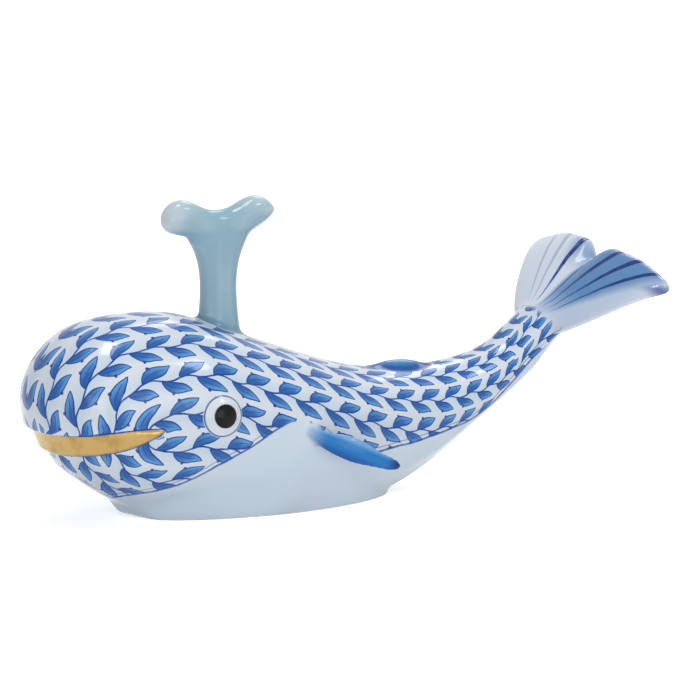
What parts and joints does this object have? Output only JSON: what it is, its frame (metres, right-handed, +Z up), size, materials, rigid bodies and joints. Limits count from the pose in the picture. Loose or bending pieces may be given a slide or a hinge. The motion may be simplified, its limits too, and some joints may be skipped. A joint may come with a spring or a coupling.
{
  "type": "whale figurine",
  "caption": "Hollow glazed porcelain whale ornament on a flat foot, with a forked water spout, raised tail flukes, swept flippers and a gilded lip.",
  "frame": {"origin": "centre of the flat foot, on the surface that the figurine stands on", "axes": "+X from head to tail, +Y to the whale's right side, +Z up"},
  "size_m": [0.1084, 0.0425, 0.0514],
  "materials": {
    "painted_porcelain": "gloss",
    "grey_blue_glaze": "gloss",
    "washed_porcelain": "gloss",
    "blue_wash": "gloss",
    "luting_slip": "gloss",
    "burnished_gold": "polished",
    "white_porcelain": "gloss",
    "black_enamel": "gloss"
  },
  "bodies": {
    "root": {"body_shell": "painted_porcelain", "water_spout": "grey_blue_glaze", "tail_flukes": "washed_porcelain", "flipper_left": "blue_wash", "flipper_right": "blue_wash", "back_ridge": "blue_wash", "spout_slip": "luting_slip", "flukes_slip": "luting_slip", "flipper_slip_left": "luting_slip", "flipper_slip_right": "luting_slip", "ridge_slip": "luting_slip", "lip_band": "burnished_gold", "eye_left": "white_porcelain", "eye_right": "white_porcelain", "pupil_left": "black_enamel", "pupil_right": "black_enamel"}
  },
  "joints": []
}
